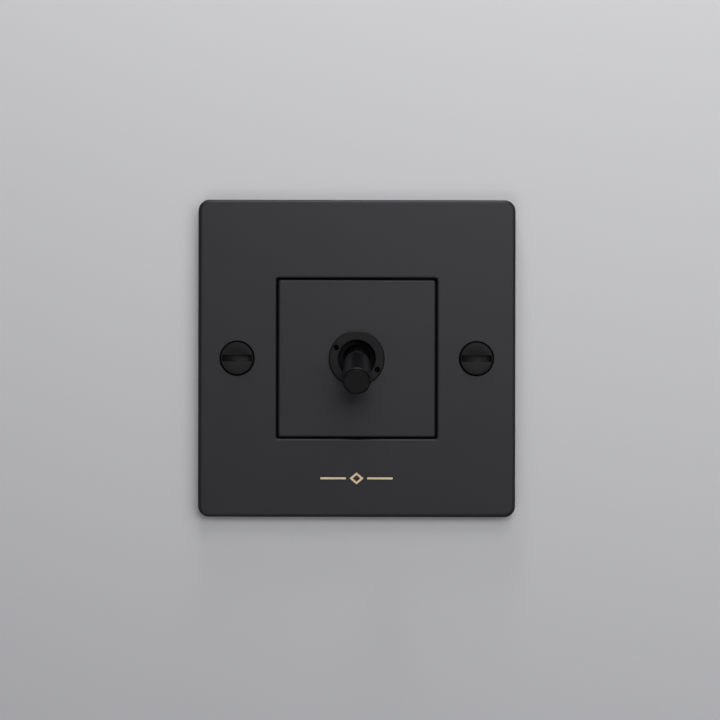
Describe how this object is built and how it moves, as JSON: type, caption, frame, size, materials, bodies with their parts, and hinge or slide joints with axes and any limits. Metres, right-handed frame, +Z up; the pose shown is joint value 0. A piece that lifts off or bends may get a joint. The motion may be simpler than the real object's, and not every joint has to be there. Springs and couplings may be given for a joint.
{
  "type": "toggle wall switch",
  "caption": "One-gang toggle wall switch: square metal plate, square module with round bezel and knurled lever, slotted fixing screws, changeover mechanism behind.",
  "frame": {"origin": "middle of the two fixing screws, on the wall plane", "axes": "+Z up the wall, +X to the right seen from the room, +Y into the wall, so the front faces -Y"},
  "size_m": [0.08, 0.0457, 0.08],
  "materials": {
    "black_plate": "matt black fine-texture coating on brushed metal plate",
    "black_screws": "satin black coating on turned metal",
    "black_grip": "satin black coating over diamond knurl",
    "dark_steel": "blackened turned steel",
    "gasket_foam": "closed-cell foam",
    "nylon": "natural nylon",
    "zinc_steel": "zinc-plated pressed steel",
    "spring_steel": "drawn spring wire",
    "brass": "machined and pressed brass",
    "silver": "silver contact alloy",
    "carrier_plastic": "black glass-filled nylon moulding",
    "switch_plastic": "white urea moulding"
  },
  "bodies": {
    "plate_and_module": {"face_plate": "black_plate", "module_face": "black_plate", "fixing_screws": "black_screws", "toggle_bezel": "black_screws", "pivot_pin": "dark_steel", "wall_gasket": "gasket_foam", "screw_retainers": "nylon", "back_frame": "zinc_steel", "frame_screws": "zinc_steel", "case_rivets": "zinc_steel", "earth_screw": "zinc_steel", "terminal_screws": "zinc_steel", "earth_terminal": "brass", "common_terminal": "brass", "upper_terminal": "brass", "lower_terminal": "brass", "terminal_blocks": "brass", "fixed_contacts": "silver", "module_carrier": "carrier_plastic", "switch_cover": "carrier_plastic", "switch_base": "switch_plastic"},
    "lever": {"lever_grip": "black_grip", "lever_core": "dark_steel", "plunger_spring": "spring_steel"},
    "plunger": {"plunger": "nylon"},
    "rocker": {"rocker_contact": "brass", "moving_contacts": "silver"}
  },
  "joints": [
    {"name": "lever_tilt", "type": "hinge", "parent": "plate_and_module", "child": "lever", "pos_m": [0, -0.00165, 0], "axis": [-1, 0, 0], "range_deg": [0, 30]},
    {"name": "contact_tilt", "type": "hinge", "parent": "plate_and_module", "child": "rocker", "pos_m": [0, 0.01069, 0], "axis": [-1, 0, 0], "range_deg": [-16, 0]},
    {"name": "plunger_slide", "type": "slide", "parent": "lever", "child": "plunger", "axis": [0, 0.9659, 0.2588], "range_m": [0, 0.0003], "stiffness_N_per_m": 200}
  ],
  "couplings": [
    {"joint": "contact_tilt", "follows": "lever_tilt", "ratio": -0.5333}
  ]
}
